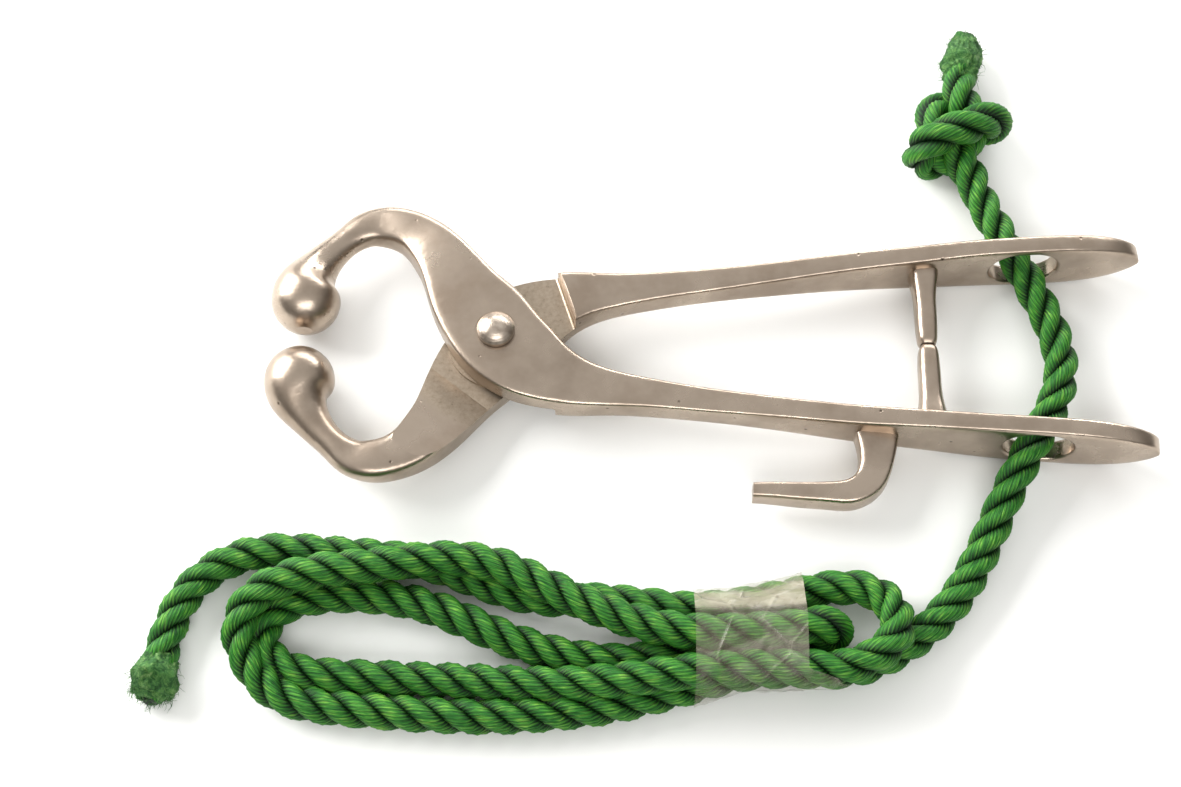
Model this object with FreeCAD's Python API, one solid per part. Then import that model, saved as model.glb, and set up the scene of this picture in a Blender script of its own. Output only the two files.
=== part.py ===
import FreeCAD, Part
import math
import os

# Bull nose lead: two cast levers crossed on one rivet, with a rope through their handles.
# Millimetres. The pivot axis is Z through the origin and the tool lies flat on z = 0:
# the jaws point to -X and the handles to +X. Each lever crosses over at the pivot, so the
# front lever has its jaw at +Y and its handle at -Y, and the rear lever the opposite.

V = FreeCAD.Vector

# Levers
MID_Z = 10.0             # plane halfway through the tool, where the levers lap
JAW_REACH = 53.5         # pivot to the middle of a nose ball, along X
BALL_RADIUS = 9.6
BALL_GAP = 5.4           # between the balls when the handles are shut
NECK_RADIUS = 4.4
BEND_OUT = 35.9          # how far the jaw arm swings out to the side
BEND_WIDTH = 10.8
ARM_THICK = 8.4          # jaw arm and handle, measured through the tool
PLATE_THICK = 7.4        # each lever where the two lap
PLATE_WIDTH = 24.6
HANDLE_REACH = 179.0     # pivot to the paddle's tip, along X
HANDLE_OFFSET = 15.0     # handle's middle line from the X axis, just past the shoulder
HANDLE_WIDTH = 6.5       # handle's narrowest, half way along
PADDLE_OFFSET = 29.4     # the same at the paddle's tip
PADDLE_WIDTH = 5.8
PADDLE_HEIGHT = 19.7
PADDLE_ROUND = 24.0      # length of the paddle's rounded end

# Lap joint and rivet
LAP_GAP = 0.1            # running gap between the two lap faces
BOSS_RADIUS = 13.5
BOSS_HEIGHT = 0.8
SHOULDER_REACH = 22.0    # pivot to the handle's shoulder
SHOULDER_ANGLE = 18.4    # how far the shoulder is turned from square to X, degrees
SHOULDER_ROUND = 0.9
JAW_ANGLE = 128.0        # direction of the jaw arm from the pivot, degrees
RAMP_START = 17.0        # where the jaw arm starts to thicken again
RAMP_END = 44.0
RIVET_RADIUS = 4.0
RIVET_CLEAR = 0.05       # radial, in the bores of both levers
RIVET_HEAD_RADIUS = 5.1
RIVET_SKIRT = 1.5        # straight edge under the front head's dome
RIVET_DOME = 2.6
RIVET_TAIL_RADIUS = 5.6
SEAT_DEPTH = 0.15        # flat seat cut for each rivet head

# Stop lugs, rope holes and hook
LUG_X = HANDLE_REACH - 60.6
LUG_GAP = 0.5
LUG_ROOT = (8.4, 9.6)    # along X, along Z
LUG_TIP = (5.4, 6.4)
HOLE_X = HANDLE_REACH - 32.5
HOLE_LENGTH = 19.0
HOLE_HEIGHT = 15.0
HOLE_ROUND = 0.9
HOOK_X = HANDLE_REACH - 75.8    # middle of the hook's root
HOOK_TIP_X = HOOK_X - 33.7
HOOK_GAP = 14.0          # clear space between the handle and the hook's bar
HOOK_BAR = 5.4
HOOK_HEIGHT = 7.8
HOOK_Z = 8.3

# Rope
ROPE = 9.5
TAPE_THICK = 0.35
TAPE_CLEAR = 0.3
TAPE_X = (53.5, 82.0)
HANK_LOW = 0.6
HANK_HIGH = 15.6
HANK_WAIST = (-98.0, -70.0)

LOOP_POLES = 24          # poles of each lofted section


def ring(centre, along, width, height, square):
    """Poles of a smooth closed loop square to the direction along; a larger square is boxier."""
    side = V(-along.y, along.x, 0).normalize()
    power = 2.0 / square
    near = math.cos(2 * math.pi / LOOP_POLES) ** power
    swell = 6.0 / (4.0 + 2.0 * near)
    poles = []
    for k in range(LOOP_POLES):
        turn = 2 * math.pi * k / LOOP_POLES
        across = math.copysign(abs(math.cos(turn)) ** power, math.cos(turn))
        upward = math.copysign(abs(math.sin(turn)) ** power, math.sin(turn))
        poles.append(centre + side * (0.5 * swell * width * across)
                     + V(0, 0, 0.5 * swell * height * upward))
    return poles


def loft(stations):
    """A solid with a smooth skin through stations of (x, y, width, low z, high z, square)."""
    middles = [V(x, y, 0.5 * (low + high)) for x, y, _, low, high, _ in stations]
    rings = []
    for k, (_, _, width, low, high, square) in enumerate(stations):
        along = middles[min(k + 1, len(stations) - 1)] - middles[max(k - 1, 0)]
        rings.append(ring(middles[k], V(along.x, along.y, 0), width, high - low, square))
    places = [0.0]
    for here, there in zip(rings, rings[1:]):
        step = sum(a.distanceToPoint(b) for a, b in zip(here, there)) / LOOP_POLES
        places.append(places[-1] + step)
    rows = []
    for column in zip(*rings):
        line = Part.BSplineCurve()
        line.interpolate(Points=list(column), Parameters=places)
        rows.append(line)
    poles = [list(across) for across in zip(*(line.getPoles() for line in rows))]
    knots = list(range(LOOP_POLES + 1))
    skin = Part.BSplineSurface()
    skin.buildFromPolesMultsKnots(poles, rows[0].getMultiplicities(), [1] * len(knots),
                                  rows[0].getKnots(), knots, False, True, 3, 3)
    side = skin.toShape()
    loops = [edge for edge in side.Edges if edge.isClosed()]
    caps = [Part.Face(Part.Wire([edge])) for edge in loops]
    shell = Part.Shell([side] + caps)
    shell.sewShape()
    solid = Part.Solid(shell)
    if solid.Volume < 0:
        solid.reverse()
    return solid


def between(pairs, x):
    """The value at x on straight runs between (x, value) pairs."""
    for (x0, v0), (x1, v1) in zip(pairs, pairs[1:]):
        if x <= x1:
            return v0 + (v1 - v0) * (x - x0) / (x1 - x0)
    return pairs[-1][1]


def handle_middle(x):
    """Distance of a handle's middle line from the X axis."""
    reach = HANDLE_REACH
    return between([(32, HANDLE_OFFSET), (0.31 * reach, HANDLE_OFFSET + 3.0),
                    (0.55 * reach, HANDLE_OFFSET + 8.3), (0.75 * reach, PADDLE_OFFSET - 2.9),
                    (reach, PADDLE_OFFSET)], x)


def handle_half_height(x):
    """Half of a handle's size through the tool: slim at the shoulder, tall at the paddle."""
    tall = 0.5 * PADDLE_HEIGHT
    slim = 0.5 * ARM_THICK - 0.2
    reach = HANDLE_REACH
    return between([(32, slim), (0.31 * reach, slim), (0.46 * reach, slim + 1.3),
                    (0.55 * reach, slim + 2.6), (0.70 * reach, tall - 1.0), (0.78 * reach, tall),
                    (reach, tall)], x)


def handle_width(x):
    """A handle's width in plan."""
    reach = HANDLE_REACH
    return between([(32, HANDLE_WIDTH + 4.6), (0.22 * reach, HANDLE_WIDTH + 3.0),
                    (0.31 * reach, HANDLE_WIDTH + 1.2), (0.44 * reach, HANDLE_WIDTH),
                    (0.7 * reach, PADDLE_WIDTH), (reach, PADDLE_WIDTH)], x)


def jaw_stations():
    """From the flat on the nose ball, round the ball, up the neck and down to the plate."""
    ball_x, ball_y = -JAW_REACH, 0.5 * BALL_GAP + BALL_RADIUS
    half = 0.5 * ARM_THICK
    low, high = MID_Z - half, MID_Z + half
    top = MID_Z + PLATE_THICK
    bend = -0.5 * JAW_REACH

    def round_at(x, y, radius):
        return (x, y, 2 * radius, MID_Z - radius, MID_Z + radius, 2.0)

    rows = []
    for degrees in (14, 26, 40, 56, 73, 90):
        turn = math.radians(degrees)
        rows.append(round_at(ball_x, ball_y - BALL_RADIUS * math.cos(turn),
                             BALL_RADIUS * math.sin(turn)))
    for right, up, share in ((0.0, 3.0, 0.92), (0.6, 5.7, 0.71), (1.8, 8.4, 0.44),
                             (3.6, 11.2, 0.22), (6.0, 14.3, 0.06)):
        rows.append(round_at(ball_x + right, ball_y + up,
                             NECK_RADIUS + share * (BALL_RADIUS - NECK_RADIUS)))
    return rows + [
        round_at(ball_x + 11.1, BEND_OUT - 4.1, NECK_RADIUS - 0.1),
        (bend - 11.4, BEND_OUT - 1.1, BEND_WIDTH - 0.8, low + 0.2, high, 2.4),
        (bend - 7.4, BEND_OUT, BEND_WIDTH, low, high, 3.0),
        (bend - 2.1, BEND_OUT - 0.6, BEND_WIDTH + 0.6, low, high + 0.5, 3.8),
        (bend + 3.3, BEND_OUT - 3.1, BEND_WIDTH + 1.6, low, high + 1.0, 4.6),
        (bend + 8.2, BEND_OUT - 7.7, BEND_WIDTH + 3.4, low, top - 1.3, 6.0),
        (bend + 12.4, BEND_OUT - 13.5, 0.66 * PLATE_WIDTH, low, top - 0.6, 8.0),
        (-9.1, 13.0, 0.85 * PLATE_WIDTH, low, top - 0.1, 9.0),
        (-4.4, 6.2, 0.98 * PLATE_WIDTH, low, top, 10.0),
    ]


def handle_stations():
    """From the plate, past the shoulder and out to the paddle's rounded tip."""
    half = 0.5 * ARM_THICK
    low = MID_Z - half
    top = MID_Z + PLATE_THICK
    rows = [
        (2.2, -2.4, PLATE_WIDTH, low, top, 10.0),
        (9.4, -8.3, 0.9 * PLATE_WIDTH, low, top - 0.2, 10.0),
        (16.2, -11.7, 0.73 * PLATE_WIDTH, low, top - 1.1, 9.0),
        (23.6, -0.92 * HANDLE_OFFSET, 0.57 * PLATE_WIDTH, low, MID_Z + half + 0.8, 8.0),
    ]
    straight = [32, 0.22 * HANDLE_REACH, 0.31 * HANDLE_REACH, 0.44 * HANDLE_REACH,
                0.55 * HANDLE_REACH, 0.66 * HANDLE_REACH, 0.75 * HANDLE_REACH,
                HANDLE_REACH - PADDLE_ROUND - 10, HANDLE_REACH - PADDLE_ROUND]
    for x in straight:
        tall = handle_half_height(x)
        rows.append((x, -handle_middle(x), handle_width(x), MID_Z - tall, MID_Z + tall, 7.0))
    for share in (0.4, 0.66, 0.84, 0.95, 0.995):
        x = HANDLE_REACH - PADDLE_ROUND * (1 - share)
        tall = 0.5 * PADDLE_HEIGHT * math.sqrt(1 - share ** 2)
        rows.append((x, -handle_middle(x), PADDLE_WIDTH - 1.3 * share ** 3,
                     MID_Z - tall, MID_Z + tall, 7.0 - 3.0 * share ** 4))
    return rows


def slab(profile, turn, half_wide):
    """A (u, z) outline pulled sideways both ways, with u turned from X towards Y by turn."""
    points = [V(u, -half_wide, z) for u, z in profile]
    face = Part.Face(Part.makePolygon(points + points[:1]))
    solid = face.extrude(V(0, 2 * half_wide, 0))
    solid.rotate(V(0, 0, 0), V(0, 0, 1), turn)
    return solid


def lap_cutter():
    """What is cut from under the front lever, so that the other lever can lie there."""
    face = MID_Z + 0.5 * LAP_GAP
    floor = face + BOSS_HEIGHT
    below = -5.0
    far = 60.0
    arm_low = MID_Z - 0.5 * ARM_THICK - 0.5
    ridge = SHOULDER_ROUND
    shoulder = slab([(-far, below), (SHOULDER_REACH + 3 * ridge, below),
                     (SHOULDER_REACH + 1.6 * ridge, arm_low + 0.1 * ridge),
                     (SHOULDER_REACH + 0.8 * ridge, arm_low + 0.6 * ridge),
                     (SHOULDER_REACH + 0.25 * ridge, arm_low + 1.2 * ridge),
                     (SHOULDER_REACH, arm_low + 2.1 * ridge), (SHOULDER_REACH, floor),
                     (-far, floor)], -SHOULDER_ANGLE, far)
    ramp = slab([(-far, below), (RAMP_END, below), (RAMP_END, arm_low), (RAMP_START, floor),
                 (-far, floor)], JAW_ANGLE, 0.9 * PLATE_WIDTH)
    boss = Part.makeCylinder(BOSS_RADIUS, floor - below, V(0, 0, below))
    under_boss = Part.makeCylinder(BOSS_RADIUS, face - below, V(0, 0, below))
    return shoulder.common(ramp).cut(boss).fuse(under_boss)


def lug():
    """Tapered stop on the inner side of the front handle, reaching to the middle."""
    root = -handle_middle(LUG_X)
    tip = -0.5 * LUG_GAP
    rows = []
    # Flare is 1 at the root's size, 0 at the tip's and below 0 where the tip is rounded off.
    for share, flare in ((0.0, 1.0), (0.2, 0.75), (0.32, 0.42), (0.65, 0.2), (0.9, 0.05),
                         (0.96, -0.1), (1.0, -0.45)):
        wide = LUG_TIP[0] + (LUG_ROOT[0] - LUG_TIP[0]) * flare
        tall = LUG_TIP[1] + (LUG_ROOT[1] - LUG_TIP[1]) * flare
        rows.append((LUG_X, root + (tip - root) * share, wide,
                     MID_Z - 0.5 * tall, MID_Z + 0.5 * tall, 3.2))
    return loft(rows)


def hook():
    """Open hook on the outer side of the front handle, its bar lying back along it."""
    root = -handle_middle(HOOK_X)
    bar = root - 0.5 * handle_width(HOOK_X) - HOOK_GAP - 0.5 * HOOK_BAR
    low = HOOK_Z - 0.5 * HOOK_HEIGHT
    high = HOOK_Z + 0.5 * HOOK_HEIGHT
    return loft([
        (HOOK_X, root - 0.5, 13.5, low - 0.3, high + 0.3, 5.0),
        (HOOK_X, root - 0.42 * HOOK_GAP, 10.8, low, high, 5.0),
        (HOOK_X - 0.6, root - 0.8 * HOOK_GAP, 9.2, low, high, 5.0),
        (HOOK_X - 2.7, bar + 3.4, 8.4, low, high, 5.0),
        (HOOK_X - 7.2, bar + 0.2, 7.4, low, high, 5.0),
        (HOOK_X - 13.0, bar - 0.3, HOOK_BAR + 0.9, low, high, 5.0),
        (HOOK_X - 22.0, bar - 0.1, HOOK_BAR, low + 0.2, high - 0.1, 5.0),
        (HOOK_TIP_X, bar + 0.3, HOOK_BAR - 0.9, low + 0.6, high - 0.5, 4.0),
    ])


def rope_hole():
    """Tool for the oval rope hole through the front handle's paddle."""
    radius = 0.5 * HOLE_HEIGHT
    half = 0.5 * HOLE_LENGTH - radius
    start, depth = -PADDLE_OFFSET - 12.0, 24.0
    ends = [Part.makeCylinder(radius, depth, V(HOLE_X + side * half, start, MID_Z), V(0, 1, 0))
            for side in (-1, 1)]
    middle = Part.makeBox(2 * half, depth, 2 * radius, V(HOLE_X - half, start, MID_Z - radius))
    return ends[0].fuse([ends[1], middle]).removeSplitter()


def edges_near(shape, test):
    """The shape's edges whose middle passes the test."""
    found = []
    for edge in shape.Edges:
        middle = edge.valueAt(0.5 * (edge.FirstParameter + edge.LastParameter))
        if test(middle, edge):
            found.append(edge)
    return found


def lever():
    """The cast lever that both are made from, as the front one lies; without the hook."""
    body = loft(jaw_stations() + handle_stations())
    body = body.cut(lap_cutter())
    across = V(math.cos(math.radians(SHOULDER_ANGLE)), -math.sin(math.radians(SHOULDER_ANGLE)), 0)
    foot = edges_near(body, lambda p, e: abs(p.dot(across) - SHOULDER_REACH) < 0.01 and p.z > MID_Z)
    body = body.makeFillet(SHOULDER_ROUND, foot)
    body = body.cut(rope_hole())
    rim = edges_near(body, lambda p, e: abs(p.x - HOLE_X) < 0.6 * HOLE_LENGTH
                     and abs(p.z - MID_Z) < 0.5 * HOLE_HEIGHT + 0.01
                     and abs(p.y) > PADDLE_OFFSET - 0.9 * PADDLE_WIDTH and e.Length < HOLE_LENGTH * 1.3)
    body = body.makeFillet(HOLE_ROUND, rim)
    body = body.fuse(lug())
    bore = Part.makeCylinder(RIVET_RADIUS + RIVET_CLEAR, 60, V(0, 0, -20))
    seat = Part.makeCylinder(RIVET_TAIL_RADIUS + 0.2, 10, V(0, 0, MID_Z + PLATE_THICK - SEAT_DEPTH))
    return body.cut(bore).cut(seat)


def front_lever():
    """Upper lever at the lap, with the hook on its handle."""
    return lever().fuse(hook())


def rear_lever():
    """The same casting turned over about the X axis."""
    other = lever()
    other.rotate(V(0, 0, MID_Z), V(1, 0, 0), 180)
    return other


def pivot_rivet():
    """Rivet with a domed front head and a flat rear head."""
    seat_top = MID_Z + PLATE_THICK - SEAT_DEPTH
    seat_low = MID_Z - PLATE_THICK + SEAT_DEPTH - LAP_GAP
    shank = Part.makeCylinder(RIVET_RADIUS, seat_top - seat_low, V(0, 0, seat_low))
    tail = Part.makeCylinder(RIVET_TAIL_RADIUS, seat_low)
    tail = tail.makeFillet(0.8, edges_near(tail, lambda p, e: p.z > seat_low - 0.01 and e.Length > 20))
    skirt = Part.makeCylinder(RIVET_HEAD_RADIUS, RIVET_SKIRT, V(0, 0, seat_top))
    crown_radius = (RIVET_HEAD_RADIUS ** 2 + RIVET_DOME ** 2) / (2 * RIVET_DOME)
    skirt_top = seat_top + RIVET_SKIRT
    ball = Part.makeSphere(crown_radius, V(0, 0, skirt_top + RIVET_DOME - crown_radius))
    above = Part.makeCylinder(RIVET_HEAD_RADIUS, 2 * RIVET_DOME, V(0, 0, skirt_top))
    return shank.fuse([tail, skirt, ball.common(above)]).removeSplitter()


# Rope route: points chosen along the rope, from the stopper knot to the hank.
KNOT_TO_HANK = [
    V(132.6, 60.5, 8.2), V(136.5, 47.5, 8.6), V(141.2, 37.0, 9.6), V(145.6, 27.3, 10.0),
    V(149.6, 17.0, 9.2), V(154.0, 6.0, 8.4), V(155.6, -5.5, 8.4), V(152.3, -16.5, 9.4),
    V(146.3, -27.0, 10.0), V(139.8, -38.0, 8.6), V(134.6, -49.0, 5.8), V(129.3, -60.5, 5.0),
    V(122.5, -72.0, 5.0), V(112.5, -82.0, 5.0), V(100.0, -89.6, 5.0),
]
ROPE_END = [V(136.0, 105.5, 5.2), V(134.6, 96.0, 6.2), V(132.9, 88.5, 8.8), V(132.4, 82.5, 11.0)]
ROPE_TAIL = [V(-86.6, -101.0, 5.0), V(-85.2, -92.0, 5.0), V(-83.4, -82.0, 5.0),
             V(-80.2, -72.4, 5.0), V(-73.5, -65.0, 5.0), V(-64.5, -60.8, 5.2),
             V(-55.0, -59.6, 5.4)]


def halfway(a, b):
    return (a + b) * 0.5


def tube(name, points):
    """A rope stretch: straight runs joined by arcs as large as the runs allow."""
    edges = []
    start = points[0]
    smallest = 1e9
    for before, corner, after in zip(points, points[1:], points[2:]):
        back = (before - corner)
        ahead = (after - corner)
        run = min(back.Length, ahead.Length)
        half_turn = 0.5 * (math.pi - back.getAngle(ahead))
        radius = 0.45 * run / math.tan(half_turn)
        smallest = min(smallest, radius)
        enter = corner + back.normalize() * (0.45 * run)
        leave = corner + ahead.normalize() * (0.45 * run)
        inward = (back + ahead).normalize()
        top = corner + inward * (radius / math.cos(half_turn) - radius)
        edges.append(Part.LineSegment(start, enter).toShape())
        edges.append(Part.Arc(enter, top, leave).toShape())
        start = leave
    edges.append(Part.LineSegment(start, points[-1]).toShape())
    path = Part.Wire(edges)
    ring = Part.Circle(points[0], points[1] - points[0], 0.5 * ROPE).toShape()
    solid = path.makePipeShell([Part.Wire(ring)], True, False)
    expected = math.pi * (0.5 * ROPE) ** 2 * path.Length
    print(f"{name}: length {path.Length:.1f}, smallest radius {smallest:.1f}, "
          f"volume {solid.Volume / expected:.4f} of section times length")
    return solid


def stopper_knot():
    """Overhand knot's outer shape, widest over its crossing turns."""
    low = 0.4
    high = low + 2 * ROPE
    return loft([
        (131.5, 57.5, 0.85 * ROPE, low + 4.0, high - 7.0, 2.0),
        (129.8, 60.5, 2.1 * ROPE, low + 1.2, high - 2.2, 2.2),
        (129.5, 65.0, 2.8 * ROPE, low, high - 0.4, 2.4),
        (131.0, 71.0, 3.1 * ROPE, low, high, 2.4),
        (132.4, 77.0, 2.5 * ROPE, low + 0.6, high - 0.6, 2.2),
        (132.2, 81.0, 1.6 * ROPE, low + 2.2, high - 2.6, 2.0),
        (131.8, 83.3, 0.75 * ROPE, low + 4.6, high - 6.4, 2.0),
    ])


def rope_hank():
    """Outer shape of the rope laid to and fro and taped in a bundle."""
    low_y, high_y = HANK_WAIST
    left, right = TAPE_X[0] - 3.0, TAPE_X[1] + 3.0
    outline = [
        ([V(left, high_y, 0), V(30, -68.5, 0), V(-10, -60.5, 0), V(-58, -59.0, 0),
          V(-68.5, -78.0, 0), V(-62, -99.0, 0), V(-40, -105.5, 0), V(0, -108.0, 0),
          V(30, -103.0, 0), V(left, low_y, 0)]),
        ([V(right, low_y, 0), V(98, -96.5, 0), V(107, -84.0, 0), V(98, -68.5, 0),
          V(right, high_y, 0)]),
    ]
    sides = []
    for points in outline:
        curve = Part.BSplineCurve()
        curve.interpolate(points)
        sides.append(curve.toShape())
    sides.append(Part.LineSegment(V(left, low_y, 0), V(right, low_y, 0)).toShape())
    sides.append(Part.LineSegment(V(right, high_y, 0), V(left, high_y, 0)).toShape())
    face = Part.Face(Part.Wire(Part.__sortEdges__(sides)))
    face.translate(V(0, 0, HANK_LOW))
    return face.extrude(V(0, 0, HANK_HIGH - HANK_LOW))


def hank_tape():
    """Band of clear tape wound once round the hank's waist."""
    low_y, high_y = HANK_WAIST
    x0, x1 = TAPE_X

    def block(grow):
        return Part.makeBox(x1 - x0, high_y - low_y + 2 * grow, HANK_HIGH - HANK_LOW + 2 * grow,
                            V(x0, low_y - grow, HANK_LOW - grow))

    inside = 0.5 * TAPE_CLEAR
    return block(inside + TAPE_THICK).cut(block(inside))


def build():
    os.makedirs("parts", exist_ok=True)
    route = KNOT_TO_HANK
    rear_cut = halfway(route[4], route[5])
    front_cut = halfway(route[7], route[8])
    parts = {
        "front_lever": front_lever(),
        "rear_lever": rear_lever(),
        "pivot_rivet": pivot_rivet(),
        "rope_end": tube("rope_end", ROPE_END),
        "stopper_knot": stopper_knot(),
        "rope_rear": tube("rope_rear", route[:5] + [rear_cut]),
        "rope_span": tube("rope_span", [rear_cut] + route[5:8] + [front_cut]),
        "rope_lead": tube("rope_lead", [front_cut] + route[8:]),
        "rope_hank": rope_hank(),
        "rope_tail": tube("rope_tail", ROPE_TAIL),
        "hank_tape": hank_tape(),
    }
    for node, shape in parts.items():
        print(f"{node}: valid {shape.isValid()}, solids {len(shape.Solids)}, "
              f"faces {len(shape.Faces)}, volume {shape.Volume:.0f}")
        shape.exportStep(f"parts/{node}.step")


build()
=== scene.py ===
import math
import random

import bpy
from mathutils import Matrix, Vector, noise


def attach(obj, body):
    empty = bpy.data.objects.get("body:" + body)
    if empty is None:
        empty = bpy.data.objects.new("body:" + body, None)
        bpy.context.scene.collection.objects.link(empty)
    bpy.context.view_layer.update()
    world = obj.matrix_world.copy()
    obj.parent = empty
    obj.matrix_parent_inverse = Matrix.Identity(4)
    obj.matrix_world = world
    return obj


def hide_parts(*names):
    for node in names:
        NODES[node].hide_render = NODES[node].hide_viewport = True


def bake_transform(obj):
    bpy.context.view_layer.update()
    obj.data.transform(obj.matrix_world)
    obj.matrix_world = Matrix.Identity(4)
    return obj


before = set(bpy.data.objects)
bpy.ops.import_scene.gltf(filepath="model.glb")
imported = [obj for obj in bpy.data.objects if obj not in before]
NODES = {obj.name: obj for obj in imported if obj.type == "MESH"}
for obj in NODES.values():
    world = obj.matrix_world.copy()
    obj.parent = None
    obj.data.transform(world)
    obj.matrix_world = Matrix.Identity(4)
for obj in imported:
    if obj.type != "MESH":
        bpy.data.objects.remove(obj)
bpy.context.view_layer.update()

MM = 0.001


# ---------------------------------------------------------------- colour and node helpers

def shade(code):
    """Linear colour from an sRGB hex value."""
    parts = [int(code[k:k + 2], 16) / 255 for k in (1, 3, 5)]
    return [p / 12.92 if p <= 0.04045 else ((p + 0.055) / 1.055) ** 2.4 for p in parts] + [1.0]


def add(material, kind, links=None, outputs=None, **settings):
    """Add a node: settings name its properties, links its inputs, each a value or a socket."""
    node = material.node_tree.nodes.new(kind)
    for name, value in settings.items():
        setattr(node, name, value)
    for name, value in (links or {}).items():
        socket = node.inputs[name]
        if isinstance(value, bpy.types.NodeSocket):
            material.node_tree.links.new(value, socket)
        else:
            socket.default_value = value
    return node


def ramp(material, factor, stops):
    """Colour ramp through (place, hex) stops."""
    node = add(material, "ShaderNodeValToRGB", {"Fac": factor})
    cells = node.color_ramp.elements
    while len(cells) < len(stops):
        cells.new(0.5)
    for cell, (place, code) in zip(cells, stops):
        cell.position = place
        cell.color = shade(code)
    return node.outputs["Color"]


def finish_named(name):
    """A new material and its Principled shader."""
    material = bpy.data.materials.new(name)
    material.use_nodes = True
    return material, material.node_tree.nodes["Principled BSDF"]


def join(material, source, shader, name):
    material.node_tree.links.new(source, shader.inputs[name])


# ---------------------------------------------------------------- finishes

def nickel_plated_iron():
    """Grey iron, cast in sand, tumbled and nickel plated: a warm satin gleam over a skin that
    is never quite flat, with shallow pits, and a duller, finely specked face at the lap."""
    metal, skin = finish_named("nickel_plated_cast_iron")
    place = add(metal, "ShaderNodeTexCoord").outputs["Object"]
    # Tumbling leaves soft patches 15 to 20 mm across, a little duller and browner.
    patches = add(metal, "ShaderNodeTexNoise",
                  {"Vector": place, "Scale": 60.0, "Detail": 4.0, "Roughness": 0.55})
    # Sand grain under the plating, about 0.7 mm.
    grain = add(metal, "ShaderNodeTexNoise",
                {"Vector": place, "Scale": 1400.0, "Detail": 3.0, "Roughness": 0.6})
    # Slow waves of the tumbled skin, about 9 mm.
    waves = add(metal, "ShaderNodeTexNoise",
                {"Vector": place, "Scale": 110.0, "Detail": 1.0, "Roughness": 0.5})
    # Casting pits: one cell in five has one. Cells are about 4 mm, and a pit fades out within
    # 0.6 mm of its middle.
    cells = add(metal, "ShaderNodeTexVoronoi", {"Vector": place, "Scale": 260.0})
    pit = add(metal, "ShaderNodeMapRange", {"Value": cells.outputs["Distance"], "From Min": 0.05,
                                            "From Max": 0.15, "To Min": 1.0, "To Max": 0.0})
    chance = add(metal, "ShaderNodeSeparateColor", {"Color": cells.outputs["Color"]})
    some = add(metal, "ShaderNodeMath", {0: chance.outputs["Red"], 1: 0.80},
               operation="GREATER_THAN")
    pits = add(metal, "ShaderNodeMath", {0: pit.outputs["Result"], 1: some.outputs[0]},
               operation="MULTIPLY").outputs[0]
    # Lap: the faces within a millimetre or so of the middle plane, near the rivet.
    where = add(metal, "ShaderNodeSeparateXYZ", {"Vector": place})
    level = add(metal, "ShaderNodeMath", {0: where.outputs["Z"], 1: -0.010}, operation="ADD")
    off = add(metal, "ShaderNodeMath", {0: level.outputs[0]}, operation="ABSOLUTE")
    near = add(metal, "ShaderNodeMapRange", {"Value": off.outputs[0], "From Min": 0.0009,
                                             "From Max": 0.0016, "To Min": 1.0, "To Max": 0.0})
    across = add(metal, "ShaderNodeCombineXYZ", {"X": where.outputs["X"], "Y": where.outputs["Y"]})
    out = add(metal, "ShaderNodeVectorMath", {0: across.outputs[0]}, operation="LENGTH")
    inside = add(metal, "ShaderNodeMapRange", {"Value": out.outputs["Value"], "From Min": 0.024,
                                               "From Max": 0.028, "To Min": 1.0, "To Max": 0.0})
    lap = add(metal, "ShaderNodeMath", {0: near.outputs["Result"], 1: inside.outputs["Result"]},
              operation="MULTIPLY").outputs[0]
    speck = add(metal, "ShaderNodeTexNoise",
                {"Vector": place, "Scale": 900.0, "Detail": 5.0, "Roughness": 0.7})
    plated = ramp(metal, patches.outputs["Fac"], [(0.34, "#998A7B"), (0.48, "#A99A8B"),
                                                  (0.66, "#BBAC9C")])
    bare = ramp(metal, speck.outputs["Fac"], [(0.30, "#7C6F60"), (0.38, "#9A8C7B"),
                                              (0.60, "#A89A89")])
    tone = add(metal, "ShaderNodeMix", {"Factor": lap, "A": plated, "B": bare}, data_type="RGBA")
    dark = add(metal, "ShaderNodeMix", {"Factor": pits, "A": tone.outputs["Result"],
                                        "B": shade("#5B5046")}, data_type="RGBA")
    join(metal, dark.outputs["Result"], skin, "Base Color")
    sheen = add(metal, "ShaderNodeMapRange", {"Value": patches.outputs["Fac"], "From Min": 0.3,
                                              "From Max": 0.7, "To Min": 0.36, "To Max": 0.24})
    rough = add(metal, "ShaderNodeMath", {0: lap, 1: 0.10, 2: sheen.outputs["Result"]},
                operation="MULTIPLY_ADD")
    join(metal, rough.outputs[0], skin, "Roughness")
    fine = add(metal, "ShaderNodeBump", {"Height": grain.outputs["Fac"], "Strength": 0.12,
                                         "Distance": 0.0002})
    wavy = add(metal, "ShaderNodeBump", {"Height": waves.outputs["Fac"], "Strength": 0.12,
                                         "Distance": 0.0008, "Normal": fine.outputs[0]})
    sunk = add(metal, "ShaderNodeBump", {"Height": pits, "Strength": 0.5, "Distance": 0.0002,
                                         "Normal": wavy.outputs[0]}, invert=True)
    join(metal, sunk.outputs[0], skin, "Normal")
    skin.inputs["Metallic"].default_value = 1.0
    return metal


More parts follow.
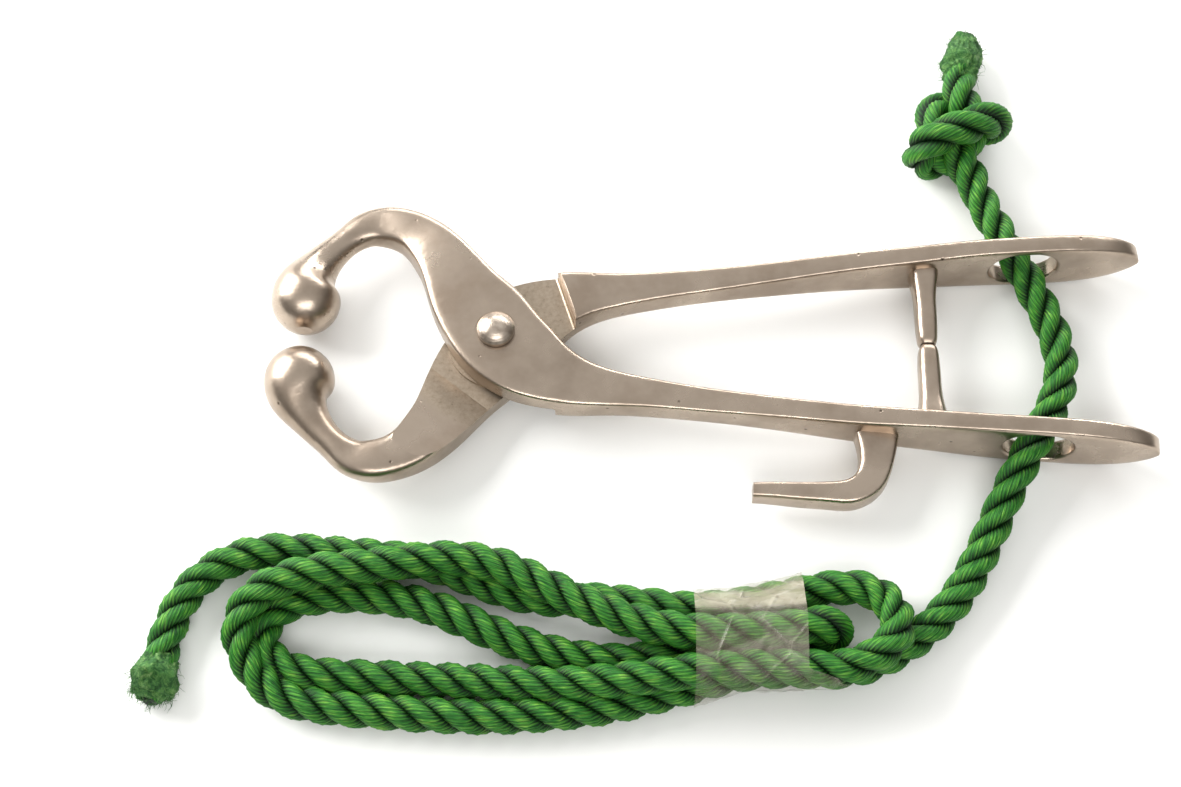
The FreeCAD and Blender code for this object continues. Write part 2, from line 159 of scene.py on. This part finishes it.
def nickel_plated_rivet():
    """Mild steel, cold headed and plated with the levers: smoother than they are, with faint rings
    from the heading tool, and darker in the corner under the dome."""
    metal, skin = finish_named("nickel_plated_steel_rivet")
    place = add(metal, "ShaderNodeTexCoord").outputs["Object"]
    where = add(metal, "ShaderNodeSeparateXYZ", {"Vector": place})
    # The colour turns dark brown within a millimetre of the dome's foot, in the corner under the
    # dome.
    dome_foot_dark = add(metal, "ShaderNodeMapRange", {"Value": where.outputs["Z"], "From Min": 0.0173,
                                              "From Max": 0.0183, "To Min": 1.0, "To Max": 0.0})
    smear = add(metal, "ShaderNodeTexNoise",
                {"Vector": place, "Scale": 420.0, "Detail": 4.0, "Roughness": 0.6})
    plated = ramp(metal, smear.outputs["Fac"], [(0.35, "#A6988A"), (0.65, "#C6B9AB")])
    tone = add(metal, "ShaderNodeMix", {"Factor": dome_foot_dark.outputs["Result"], "A": plated,
                                        "B": shade("#4A4038")}, data_type="RGBA")
    join(metal, tone.outputs["Result"], skin, "Base Color")
    # Heading rings about 0.6 mm apart.
    rings = add(metal, "ShaderNodeTexWave",
                {"Vector": place, "Scale": 520.0, "Distortion": 2.0, "Detail": 2.0},
                wave_type="RINGS", rings_direction="Z")
    bump = add(metal, "ShaderNodeBump", {"Height": rings.outputs["Fac"], "Strength": 0.06,
                                         "Distance": 0.0002})
    join(metal, bump.outputs[0], skin, "Normal")
    gloss = add(metal, "ShaderNodeMapRange", {"Value": smear.outputs["Fac"], "From Min": 0.3,
                                              "From Max": 0.7, "To Min": 0.28, "To Max": 0.38})
    join(metal, gloss.outputs["Result"], skin, "Roughness")
    skin.inputs["Metallic"].default_value = 1.0
    return metal


def laid_polypropylene():
    """Dyed polypropylene yarn laid in three strands: each yarn is a bundle of smooth fine
    filaments, so light runs along it in broken streaks and dies in the grooves. The shade in the
    grooves and in the creases between yarns is painted into the colour."""
    fibre, skin = finish_named("green_laid_polypropylene")
    along = add(fibre, "ShaderNodeUVMap", uv_map="yarn").outputs["UV"]
    # U goes once round a strand and V is in hundredths of a metre. Filaments are drawn about
    # 0.3 mm apart, coarser than real ones, and run on for about 2.5 mm.
    stretched = add(fibre, "ShaderNodeMapping", {"Vector": along, "Scale": (48.0, 4.0, 1.0)})
    filaments = add(fibre, "ShaderNodeTexNoise", {"Vector": stretched.outputs[0], "Scale": 1.0,
                                                  "Detail": 3.0, "Roughness": 0.6})
    blotch = add(fibre, "ShaderNodeMapping", {"Vector": along, "Scale": (7.0, 3.0, 1.0)})
    dye = add(fibre, "ShaderNodeTexNoise", {"Vector": blotch.outputs[0], "Scale": 1.0,
                                            "Detail": 2.0, "Roughness": 0.5})
    mixed = add(fibre, "ShaderNodeMath", {0: filaments.outputs["Fac"], 1: 0.62},
                operation="MULTIPLY")
    both = add(fibre, "ShaderNodeMath", {0: dye.outputs["Fac"], 1: 0.38, 2: mixed.outputs[0]},
               operation="MULTIPLY_ADD")
    yarn = ramp(fibre, both.outputs[0], [(0.34, "#0C3F10"), (0.44, "#216A1E"),
                                         (0.54, "#438C2B"), (0.68, "#88BC48")])
    # Crown is 1 along the top of each yarn and 0 in the crease between two.
    crown = add(fibre, "ShaderNodeAttribute", attribute_name="crown")
    # Painted shade: the colour darkens towards #0D4512 in the crease between two yarns.
    lit = add(fibre, "ShaderNodeMapRange", {"Value": crown.outputs["Fac"], "From Min": 0.0,
                                            "From Max": 0.7, "To Min": 0.62, "To Max": 1.0})
    crease_shaded = add(fibre, "ShaderNodeMix", {"Factor": lit.outputs["Result"],
                                         "A": shade("#0D4512"), "B": yarn}, data_type="RGBA")
    # Depth is 1 on a strand's outer side and 0 where it meets its neighbours.
    deep = add(fibre, "ShaderNodeAttribute", attribute_name="depth")
    # Painted shade: the colour goes to #052108 in the grooves where strands meet, and each yarn's
    # crease carries this painted shade up the strand in short dashes.
    toothed = add(fibre, "ShaderNodeMath", {0: crown.outputs["Fac"], 1: 0.30,
                                            2: deep.outputs["Fac"]}, operation="MULTIPLY_ADD")
    open_side = add(fibre, "ShaderNodeMapRange", {"Value": toothed.outputs[0], "From Min": 0.66,
                                                  "From Max": 1.16, "To Min": 0.0, "To Max": 1.0})
    tone = add(fibre, "ShaderNodeMix", {"Factor": open_side.outputs["Result"],
                                        "A": shade("#052108"), "B": crease_shaded.outputs["Result"]},
               data_type="RGBA")
    join(fibre, tone.outputs["Result"], skin, "Base Color")
    gloss = add(fibre, "ShaderNodeMapRange", {"Value": filaments.outputs["Fac"], "From Min": 0.3,
                                              "From Max": 0.7, "To Min": 0.62, "To Max": 0.38})
    join(fibre, gloss.outputs["Result"], skin, "Roughness")
    bump = add(fibre, "ShaderNodeBump", {"Height": filaments.outputs["Fac"], "Strength": 0.9,
                                         "Distance": 0.0004})
    join(fibre, bump.outputs[0], skin, "Normal")
    skin.inputs["IOR"].default_value = 1.49
    skin.inputs["Specular IOR Level"].default_value = 0.25
    return fibre


def frayed_polypropylene():
    """The same filaments cut loose at the rope's ends and matted: they scatter more light, so they
    look a little paler, with painted shade in the gaps between the tufts."""
    fuzz, skin = finish_named("frayed_green_polypropylene")
    place = add(fuzz, "ShaderNodeTexCoord").outputs["Object"]
    tufts = add(fuzz, "ShaderNodeTexNoise", {"Vector": place, "Scale": 420.0, "Detail": 6.0,
                                             "Roughness": 0.75, "Distortion": 1.2})
    # Partly painted shade: the ramp's dark low end follows the same noise as the bump and paints
    # the shade in the gaps between tufts. The paler high end is the loose filaments' own colour.
    tone = ramp(fuzz, tufts.outputs["Fac"], [(0.34, "#123A10"), (0.46, "#2B6226"),
                                             (0.58, "#578940"), (0.76, "#A4BC80")])
    join(fuzz, tone, skin, "Base Color")
    bump = add(fuzz, "ShaderNodeBump", {"Height": tufts.outputs["Fac"], "Strength": 0.9,
                                        "Distance": 0.0008})
    join(fuzz, bump.outputs[0], skin, "Normal")
    rough = add(fuzz, "ShaderNodeMapRange", {"Value": tufts.outputs["Fac"], "From Min": 0.3,
                                             "From Max": 0.7, "To Min": 0.85, "To Max": 0.65})
    join(fuzz, rough.outputs["Result"], skin, "Roughness")
    skin.inputs["IOR"].default_value = 1.49
    return fuzz


def clear_packing_tape():
    """Oriented polypropylene film, glossy and crinkled, with a milky look where air lies
    under it or where it bridges from strand to strand."""
    film, skin = finish_named("clear_polypropylene_tape")
    place = add(film, "ShaderNodeTexCoord").outputs["Object"]
    crinkle = add(film, "ShaderNodeTexNoise", {"Vector": place, "Scale": 75.0, "Detail": 4.0,
                                               "Roughness": 0.55, "Distortion": 1.2})
    folds = add(film, "ShaderNodeTexVoronoi", {"Vector": place, "Scale": 70.0},
                feature="DISTANCE_TO_EDGE")
    fold = add(film, "ShaderNodeMapRange", {"Value": folds.outputs["Distance"], "From Min": 0.0,
                                            "From Max": 0.05, "To Min": 1.0, "To Max": 0.0})
    milk = add(film, "ShaderNodeMapRange", {"Value": crinkle.outputs["Fac"], "From Min": 0.40,
                                            "From Max": 0.66, "To Min": 0.10, "To Max": 0.24})
    crossed = add(film, "ShaderNodeMath", {0: fold.outputs["Result"], 1: 0.10,
                                           2: milk.outputs["Result"]}, operation="MULTIPLY_ADD")
    # Lift is 1 where the film folds over itself clear of the rope, 0 where it is stuck down.
    lift = add(film, "ShaderNodeAttribute", attribute_name="lift")
    solid = add(film, "ShaderNodeMath", {0: lift.outputs["Fac"], 1: 0.55,
                                         2: crossed.outputs[0]}, operation="MULTIPLY_ADD")
    join(film, solid.outputs[0], skin, "Alpha")
    tone = ramp(film, crinkle.outputs["Fac"], [(0.35, "#969078"), (0.65, "#B7B19F")])
    join(film, tone, skin, "Base Color")
    creased = add(film, "ShaderNodeMath", {0: fold.outputs["Result"], 1: 0.5,
                                           2: crinkle.outputs["Fac"]}, operation="MULTIPLY_ADD")
    bump = add(film, "ShaderNodeBump", {"Height": creased.outputs[0], "Strength": 0.6,
                                        "Distance": 0.0012})
    join(film, bump.outputs[0], skin, "Normal")
    gloss = add(film, "ShaderNodeMapRange", {"Value": crinkle.outputs["Fac"], "From Min": 0.3,
                                             "From Max": 0.7, "To Min": 0.16, "To Max": 0.34})
    join(film, gloss.outputs["Result"], skin, "Roughness")
    skin.inputs["IOR"].default_value = 1.49
    return film


# ---------------------------------------------------------------- rope

ROPE = 9.5               # over the strands, mm
LAY = 23.4               # one turn of a strand in the hank, mm
LAY_LEAD = 27.0          # the same where the rope has been pulled, mm
STRAND_OUT = 0.268       # strand's middle from the rope's, in diameters
STRAND_THICK = 0.232     # strand's half thickness, in diameters
YARNS = 12               # yarns round a strand
YARN_TURN = -0.68        # how the yarns turn against the lay, radians a millimetre
YARN_PROUD = 0.15        # crown of a yarn over the crease beside it, mm

ROPE_END = [(136.0, 105.5, 5.2), (134.6, 96.0, 6.2), (132.9, 88.5, 8.8), (132.4, 82.5, 11.0)]
KNOT = [
    # down behind the front band and under the lead
    (133.4, 77.0, 11.0), (135.0, 71.8, 8.4), (134.4, 66.6, 5.4), (130.2, 63.4, 4.6),
    (125.6, 62.8, 4.6),
    # round the left and up on to the front
    (121.6, 62.2, 4.9), (119.4, 62.2, 8.8), (120.6, 63.0, 13.4),
    # front band to the right lobe
    (124.6, 64.6, 15.8), (129.4, 66.4, 16.1), (134.4, 68.6, 15.9), (138.8, 70.8, 15.0),
    (142.0, 72.4, 11.8), (142.0, 73.2, 7.2),
    # back under the end to the upper left, and down as the lead
    (138.6, 74.6, 4.8), (134.4, 77.6, 4.7), (130.4, 79.8, 4.8), (126.4, 79.6, 6.0),
    (124.2, 76.0, 8.2), (125.4, 71.2, 9.2), (128.8, 66.4, 9.2),
]
KNOT_TO_HANK = [
    (132.6, 60.5, 8.2), (136.5, 47.5, 8.6), (140.6, 37.0, 9.6), (144.8, 27.3, 10.0),
    (149.6, 17.0, 9.2), (154.0, 6.0, 8.4), (155.6, -5.5, 8.4), (152.3, -16.5, 9.4),
    (146.3, -27.0, 10.0), (139.8, -38.0, 8.6), (134.6, -49.0, 5.8), (129.3, -60.5, 5.0),
    (122.5, -72.0, 5.0), (112.5, -82.0, 5.0), (100.0, -89.6, 5.0),
]
HANK = [
    # lowest pass, through the tape to the far left
    (90.0, -91.6, 4.9), (77.0, -91.0, 4.9), (64.0, -92.2, 4.9), (48.0, -97.4, 4.9),
    (30.0, -102.0, 4.9), (6.0, -104.6, 4.9), (-14.0, -104.2, 4.9), (-30.0, -103.2, 4.9),
    (-41.0, -102.4, 4.9), (-50.0, -101.0, 5.0), (-57.0, -97.2, 5.4), (-62.0, -91.0, 6.8),
    (-64.8, -83.8, 9.2), (-62.8, -76.8, 11.6), (-56.0, -71.6, 13.4), (-45.0, -68.4, 13.9),
    (-30.0, -66.8, 13.6), (-12.0, -63.8, 12.6), (2.0, -65.2, 12.2), (14.0, -71.0, 12.8),
    (29.0, -78.2, 13.2), (44.0, -83.0, 13.5), (56.0, -84.0, 13.6), (69.0, -83.4, 13.8),
    # short bend inside the right loop
    (81.0, -82.4, 14.2), (85.6, -81.4, 14.4), (89.6, -81.6, 12.8), (90.8, -81.8, 8.0),
    (87.6, -82.0, 5.0), (81.0, -82.0, 4.9),
    # back low, to the inner left bend
    (68.0, -82.6, 4.9), (54.0, -86.0, 4.9), (39.0, -89.4, 4.9), (23.0, -89.0, 5.2),
    (6.0, -84.8, 7.0), (-6.0, -79.6, 8.0), (-16.0, -75.6, 7.8), (-25.0, -73.2, 6.2),
    (-37.0, -71.8, 5.0), (-48.4, -73.0, 5.0), (-55.6, -76.2, 5.0), (-59.0, -81.6, 5.0),
    (-58.4, -87.4, 5.0), (-53.6, -91.8, 5.0), (-44.6, -94.2, 5.2),
    # along the front and up on to the bundle
    (-28.0, -94.6, 5.4), (-4.0, -95.4, 6.0), (20.0, -96.8, 8.0), (36.0, -95.8, 10.6),
    (51.0, -94.2, 12.8), (66.0, -93.0, 13.2), (82.0, -93.0, 13.5),
    # right loop, over the lead and down
    (91.5, -93.2, 13.6), (98.6, -90.6, 13.6), (103.6, -86.8, 13.3), (106.2, -82.2, 12.2),
    (106.0, -77.8, 10.2), (104.8, -73.8, 8.2), (102.0, -70.6, 6.8), (97.0, -68.6, 5.8),
    (91.0, -68.4, 5.2), (84.0, -69.6, 5.0),
    # back under the rising pass
    (70.0, -73.0, 5.0), (54.0, -75.2, 5.0), (42.0, -74.0, 5.0), (29.0, -72.6, 5.0),
    (17.0, -72.8, 5.0), (6.0, -71.2, 5.0), (-4.0, -67.4, 5.0), (-14.0, -63.6, 5.0),
    (-25.0, -61.6, 5.0), (-36.0, -60.8, 5.0), (-46.0, -60.2, 5.2),
]
ROPE_TAIL = [
    (-55.0, -59.6, 5.4), (-64.5, -60.8, 5.2), (-73.5, -65.0, 5.0), (-80.2, -72.4, 5.0),
    (-83.4, -82.0, 5.0), (-85.2, -92.0, 5.0), (-86.6, -101.0, 5.0),
]
KNOT_SWELL = 1.12        # how much the rope loosens in the knot
KNOT_MIDDLE = Vector((131.0, 69.5, 9.0)) * MM
KNOT_LOOSE = 11.0        # as loose as that up to here from the knot's middle, mm
KNOT_EASE = 8.0          # and back to the open lay over this, mm
HANK_BELOW = -60.0       # the hank's lay begins below this Y, mm
NEAR_PINCH, FAR_PINCH = 15.0, 8.0    # strands are pinched over this at each cut end, mm
PINCHED = 0.45           # how far out the strands lie at the very end, of the open lay
RING_STEP = 0.85         # least distance between the rope's rings, mm
END_REACH = 260          # points of the line that a frayed end may look along


def rope_line():
    """The rope's middle line, read from one smooth spline through the route."""
    route = ROPE_END + KNOT + KNOT_TO_HANK + HANK + ROPE_TAIL
    curve = bpy.data.curves.new("rope_line", "CURVE")
    curve.dimensions = "3D"
    curve.resolution_u = 12
    spline = curve.splines.new("NURBS")
    spline.points.add(len(route) - 1)
    for point, place in zip(spline.points, route):
        point.co = (place[0] * MM, place[1] * MM, place[2] * MM, 1.0)
    spline.order_u = 3
    spline.use_endpoint_u = True
    holder = bpy.data.objects.new("rope_line", curve)
    mesh = bpy.data.meshes.new_from_object(holder)
    points = [vertex.co.copy() for vertex in mesh.vertices]
    bpy.data.objects.remove(holder)
    bpy.data.curves.remove(curve)
    bpy.data.meshes.remove(mesh)
    return points


def spaced(points, least):
    """The points, less those nearer than least to the one before."""
    kept = [points[0]]
    for point in points[1:]:
        if (point - kept[-1]).length >= least:
            kept.append(point)
    return kept


def frames_along(points):
    """Distance, direction and a side that doesn't twist, at each point of a line."""
    rows = []
    side = Vector((1, 0, 0))
    run = 0.0
    for k, point in enumerate(points):
        ahead = points[min(k + 1, len(points) - 1)] - points[max(k - 1, 0)]
        ahead.normalize()
        side = (side - ahead * side.dot(ahead)).normalized()
        if k:
            run += (point - points[k - 1]).length
        rows.append((run, point, ahead, side.copy()))
    return rows


def swell_at(point):
    """1 in the open, more inside the stopper knot, where the lay opens."""
    reach = (point - KNOT_MIDDLE).length / MM
    share = min(1.0, max(0.0, (reach - KNOT_LOOSE) / KNOT_EASE))
    return KNOT_SWELL + (1 - KNOT_SWELL) * share


def strand_mesh(line, name):
    """Three strands laid round the line, each with yarns standing proud."""
    rows = frames_along(line)
    whole = rows[-1][0]
    per_ring = 2 * YARNS
    laid = [0.0]
    for (before, _, _, _), (run, point, _, _) in zip(rows, rows[1:]):
        lay = LAY_LEAD if point.y > HANK_BELOW * MM else LAY
        laid.append(laid[-1] + 2 * math.pi * (run - before) / MM / lay)
    verts, faces, depths, crowns, places = [], [], [], [], []
    for strand in range(3):
        middles = []
        for (run, point, ahead, side), turned in zip(rows, laid):
            up = ahead.cross(side)
            turn = turned + 2 * math.pi * strand / 3
            out = side * math.cos(turn) + up * math.sin(turn)
            thick = ROPE * MM * swell_at(point)
            # The strands are pinched together where the rope was cut.
            inside = min(1.0, min(run / NEAR_PINCH, (whole - run) / FAR_PINCH) / MM)
            pinch = PINCHED + (1 - PINCHED) * inside
            middles.append((point + out * STRAND_OUT * thick * pinch, out, thick, run))
        base = len(verts)
        for k, (middle, out, thick, run) in enumerate(middles):
            ahead = middles[min(k + 1, len(rows) - 1)][0] - middles[max(k - 1, 0)][0]
            ahead.normalize()
            out = (out - ahead * out.dot(ahead)).normalized()
            beside = ahead.cross(out)
            for j in range(per_ring):
                turn = 2 * math.pi * j / per_ring + YARN_TURN * run / MM
                # Yarns stand clear where the strand turns under and lie flat on top.
                uneven = noise.noise(Vector((j * 3.1, strand * 9.0, run / MM * 0.16)))
                proud = YARN_PROUD * (1.35 - 0.75 * math.cos(turn)) * (1 + uneven)
                radius = STRAND_THICK * thick + (proud if j % 2 else -proud) * MM
                spot = middle + (out * math.cos(turn) + beside * math.sin(turn)) * radius
                spot.z = max(spot.z, 0.1 * MM)
                verts.append(spot)
                depths.append(0.5 + 0.5 * math.cos(turn))
                crowns.append(float(j % 2))
                places.append((j / per_ring, run * 100))
        for k in range(len(rows) - 1):
            for j in range(per_ring):
                a = base + k * per_ring + j
                b = base + k * per_ring + (j + 1) % per_ring
                faces.append((a, b, b + per_ring, a + per_ring))
        first = base
        last = base + (len(rows) - 1) * per_ring
        faces.append(tuple(first + j for j in reversed(range(per_ring))))
        faces.append(tuple(last + j for j in range(per_ring)))
    mesh = bpy.data.meshes.new(name)
    mesh.from_pydata([v[:] for v in verts], [], faces)
    layer = mesh.uv_layers.new(name="yarn")
    for polygon in mesh.polygons:
        corners = list(polygon.loop_indices)
        us = [places[mesh.loops[c].vertex_index][0] for c in corners]
        wraps = len(corners) == 4 and max(us) - min(us) > 0.5
        for c, u in zip(corners, us):
            v = places[mesh.loops[c].vertex_index][1]
            layer.data[c].uv = (u + 1.0 if wraps and u < 0.5 else u, v)
    grooves = mesh.attributes.new("depth", "FLOAT", "POINT")
    grooves.data.foreach_set("value", depths)
    ridges = mesh.attributes.new("crown", "FLOAT", "POINT")
    ridges.data.foreach_set("value", crowns)
    mesh.polygons.foreach_set("use_smooth", [True] * len(mesh.polygons))
    return mesh


LOOSE = 420              # loose filaments on a frayed end
FRAY_AROUND, FRAY_RINGS = 72, 56


def frayed_end(name, line, length, width, tip, seed, finish):
    """Matted filaments round the last stretch of the rope, with loose ones standing out.
    Length and width are in mm, and tip is the width at the cut end over the widest."""
    rnd = random.Random(seed)
    rows = frames_along(line)
    verts, faces = [], []
    around, rings = FRAY_AROUND, FRAY_RINGS
    picked = []
    for k in range(rings):
        share = k / (rings - 1)
        want = share * length * MM
        row = min(rows, key=lambda r: abs(r[0] - want))
        picked.append((share, row))
    for share, (run, point, ahead, side) in picked:
        up = ahead.cross(side)
        # Closed at the cut end, widest past the middle, then in among the strands.
        cap = math.sqrt(min(1.0, share / 0.12)) * (tip + (1 - tip) * min(1.0, share / 0.5))
        slim = 1.0 - 0.36 * max(0.0, (share - 0.62) / 0.38) ** 1.5
        radius = 0.5 * width * MM * cap * slim
        for j in range(around):
            turn = 2 * math.pi * j / around
            out = side * math.cos(turn) + up * math.sin(turn)
            round_x, round_y = math.cos(turn), math.sin(turn)
            along = run / MM
            lump = noise.noise(Vector((round_x * 1.4, round_y * 1.4, along * 0.24 + seed)))
            tuft = noise.noise(Vector((round_x * 4.5, round_y * 4.5, along * 0.30 + seed)))
            wisp = noise.noise(Vector((round_x * 11, round_y * 11, along * 0.5 + seed)))
            grown = radius * (1 + 0.24 * lump + 0.20 * tuft + 0.10 * wisp)
            place = point + out * grown
            place.z = max(place.z, 0.2 * MM)
            verts.append(place)
    for k in range(rings - 1):
        for j in range(around):
            a, b = k * around + j, k * around + (j + 1) % around
            faces.append((a, b, b + around, a + around))
    faces.append(tuple(reversed(range(around))))
    faces.append(tuple((rings - 1) * around + j for j in range(around)))
    matted = len(verts)
    for _ in range(LOOSE):
        root = rnd.randrange(0, matted)
        start = verts[root].copy()
        share, (run, point, ahead, side) = picked[root // around]
        outward = start - point
        if outward.length < 1e-6:
            outward = -ahead
        outward.normalize()
        heading = (-ahead * rnd.uniform(0.2, 1.0) + outward * rnd.uniform(0.1, 0.75)
                   + Vector([rnd.uniform(-0.6, 0.6) for _ in range(3)])).normalized()
        reach = rnd.uniform(1.6, 4.4) * MM
        thin = rnd.uniform(0.07, 0.13) * MM
        base = len(verts)
        place = start - outward * 0.4 * MM
        for step in range(5):
            a = heading.cross(outward).normalized()
            b = heading.cross(a).normalized()
            size = thin * (1 - 0.18 * step)
            for corner in range(3):
                turn = 2 * math.pi * corner / 3
                spot = place + (a * math.cos(turn) + b * math.sin(turn)) * size
                spot.z = max(spot.z, 0.05 * MM)
                verts.append(spot)
            heading = (heading + Vector([rnd.uniform(-0.5, 0.5) for _ in range(3)])
                       - outward * 0.25).normalized()
            place = place + heading * reach / 4
        for step in range(4):
            for corner in range(3):
                p = base + step * 3 + corner
                q = base + step * 3 + (corner + 1) % 3
                faces.append((p, q, q + 3, p + 3))
        faces.append((base + 2, base + 1, base))
        faces.append((base + 12, base + 13, base + 14))
    mesh = bpy.data.meshes.new(name)
    mesh.from_pydata([v[:] for v in verts], [], faces)
    mesh.polygons.foreach_set("use_smooth", [True] * len(mesh.polygons))
    piece = bpy.data.objects.new(name, mesh)
    bpy.context.scene.collection.objects.link(piece)
    mesh.materials.append(finish)
    return piece


# ---------------------------------------------------------------- tape

TAPE_FROM, TAPE_TO = 53.5, 82.0
TAPE_OFF = 0.35          # film's distance from the rope it lies on, mm
TONGUE = 12.0            # how far the film's loose end runs on along the rope, mm
TONGUE_AT = 0.90 * math.pi           # the loose end's middle, round the hank from +Y to +Z
TONGUE_HALF = 0.40       # and its half width, radians
CUT_BELOW = -50.0        # the film holds only rope below this Y, mm
FOLD_FROM, FOLD_OVER = -79.5, 3.0    # the film's fold starts at this Y and spans this, mm
FLOOR_GAP = 0.15         # film's least height over the floor, mm


def tape_band(line, finish):
    """Thin film wound round the five passes of rope at the hank's waist, three low and two on
    top, its loose end stuck down along the lower front."""
    around, along = 144, 52
    verts, faces, lifts = [], [], []
    reach = 0.5 * ROPE + TAPE_OFF

    def section(x):
        """Where the passes cross a plane square to the hank, and the middle of them."""
        spots = []
        for p, q in zip(line, line[1:]):
            crosses = (p.x - x * MM) * (q.x - x * MM) <= 0 and abs(q.x - p.x) > 1e-9
            if crosses and p.y < CUT_BELOW * MM:
                spot = p.lerp(q, (x * MM - p.x) / (q.x - p.x))
                spots.append(Vector((spot.y / MM, spot.z / MM)))
        return spots, sum(spots, Vector((0.0, 0.0))) / len(spots)

    for k in range(along):
        for j in range(around):
            turn = 2 * math.pi * j / around
            ray = Vector((math.cos(turn), math.sin(turn)))
            # The loose end runs on along the lower front, which lies towards -Y and +Z.
            tongue = max(0.0, 1 - ((turn - TONGUE_AT) / TONGUE_HALF) ** 2)
            x = TAPE_FROM + (TAPE_TO + TONGUE * tongue - TAPE_FROM) * k / (along - 1)
            spots, middle = section(x)
            far = math.inf
            for degrees in range(-80, 81, 5):
                slant = turn + math.radians(degrees)
                heading = Vector((math.cos(slant), math.sin(slant)))
                support = max((spot - middle).dot(heading) for spot in spots) + reach
                far = min(far, support / math.cos(slant - turn))
            wrinkle = noise.noise(Vector((x * 0.13, ray.x * 2.2, ray.y * 2.2)))
            crease = abs(noise.noise(Vector((x * 0.3 + 3, ray.x * 5, ray.y * 5))))
            far += 0.5 * wrinkle + 0.5 * crease
            spot = middle + ray * far
            clear = min((spot - other).length for other in spots) - reach
            # Lift rises where the film stands clear of the rope between passes, and past
            # FOLD_FROM, where it folds over itself along the upper edge.
            fold = min(1.0, max(0.12, (spot.x - FOLD_FROM) / FOLD_OVER))
            lifts.append(fold * min(1.0, max(0.0, (clear + 0.1) / 1.2)))
            verts.append((x * MM, spot.x * MM, max(FLOOR_GAP, spot.y) * MM))
    for k in range(along - 1):
        for j in range(around):
            a, b = k * around + j, k * around + (j + 1) % around
            faces.append((a, a + around, b + around, b))
    mesh = bpy.data.meshes.new("hank_tape_film")
    mesh.from_pydata(verts, [], faces)
    mesh.polygons.foreach_set("use_smooth", [True] * len(mesh.polygons))
    lifted = mesh.attributes.new("lift", "FLOAT", "POINT")
    lifted.data.foreach_set("value", lifts)
    piece = bpy.data.objects.new("hank_tape_film", mesh)
    bpy.context.scene.collection.objects.link(piece)
    mesh.materials.append(finish)
    return piece


# ---------------------------------------------------------------- pieces

def dress_levers():
    casting = nickel_plated_iron()
    for name in ("front_lever", "rear_lever"):
        for slot in NODES[name].material_slots:
            slot.material = casting
    rivet = nickel_plated_rivet()
    for slot in NODES["pivot_rivet"].material_slots:
        slot.material = rivet


def make_rope():
    line = rope_line()
    rings = spaced(line, RING_STEP * MM)
    mesh = strand_mesh(rings, "lead_rope")
    mesh.materials.append(laid_polypropylene())
    rope = bpy.data.objects.new("lead_rope", mesh)
    bpy.context.scene.collection.objects.link(rope)
    fuzz = frayed_polypropylene()
    near_end = frayed_end("rope_end_fray", line[:END_REACH], 20.0, 11.4, 0.66, 3, fuzz)
    far_end = frayed_end("rope_tail_fray", line[::-1][:END_REACH], 12.0, 11.8, 0.9, 8, fuzz)
    tape = tape_band(line, clear_packing_tape())
    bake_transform(rope)
    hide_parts("rope_end", "stopper_knot", "rope_rear", "rope_span", "rope_lead",
                "rope_hank", "rope_tail")
    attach(near_end, "rear")
    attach(far_end, "front")
    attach(tape, "front")
    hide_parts("hank_tape")


# ---------------------------------------------------------------- floor, light and camera

def studio():
    mesh = bpy.data.meshes.new("floor")
    mesh.from_pydata([(-3, -3, 0), (3, -3, 0), (3, 3, 0), (-3, 3, 0)], [], [(0, 1, 2, 3)])
    floor = bpy.data.objects.new("floor", mesh)
    bpy.context.scene.collection.objects.link(floor)
    paint, skin = finish_named("pale_floor_paint")
    skin.inputs["Base Color"].default_value = shade("#F4F4F2")
    skin.inputs["Roughness"].default_value = 0.9
    mesh.materials.append(paint)

    # Studio air: bright overhead, dimmer towards the walls, which shapes the metal.
    world = bpy.data.worlds.new("studio_air")
    world.use_nodes = True
    heading = add(world, "ShaderNodeTexCoord").outputs["Generated"]
    height = add(world, "ShaderNodeSeparateXYZ", {"Vector": heading})
    air = ramp(world, height.outputs["Z"], [(0.0, "#56524E"), (0.35, "#94918D"),
                                            (0.75, "#F2F1EF")])
    sky = world.node_tree.nodes["Background"]
    world.node_tree.links.new(air, sky.inputs["Color"])
    sky.inputs["Strength"].default_value = 0.86
    bpy.context.scene.world = world

    def softbox(name, place, size, power):
        light = bpy.data.lights.new(name, "AREA")
        light.shape = "RECTANGLE"
        light.size, light.size_y = size
        light.energy = power
        lamp = bpy.data.objects.new(name, light)
        lamp.location = place
        aim = Vector((0.04, -0.02, 0.0)) - Vector(place)
        lamp.rotation_euler = aim.to_track_quat("-Z", "Y").to_euler()
        bpy.context.scene.collection.objects.link(lamp)

    softbox("softbox_left", (-0.80, 0.50, 0.50), (0.9, 0.8), 24.0)
    softbox("softbox_back", (0.30, 1.00, 0.40), (1.2, 0.3), 9.0)
    softbox("softbox_front", (0.10, -0.80, 0.90), (1.0, 0.4), 6.0)

    camera = bpy.data.cameras.new("camera")
    camera.lens = 62.28
    camera.sensor_width = 36.0
    camera.clip_start = 0.01
    eye = bpy.data.objects.new("camera", camera)
    eye.location = (0.02867, -0.25018, 0.51391)
    aim = Vector((0.0259, -0.0152, 0.0100)) - Vector(eye.location)
    eye.rotation_euler = aim.to_track_quat("-Z", "Y").to_euler()
    bpy.context.scene.collection.objects.link(eye)
    bpy.context.scene.camera = eye
    bpy.context.scene.view_settings.view_transform = "Standard"


dress_levers()
make_rope()
studio()
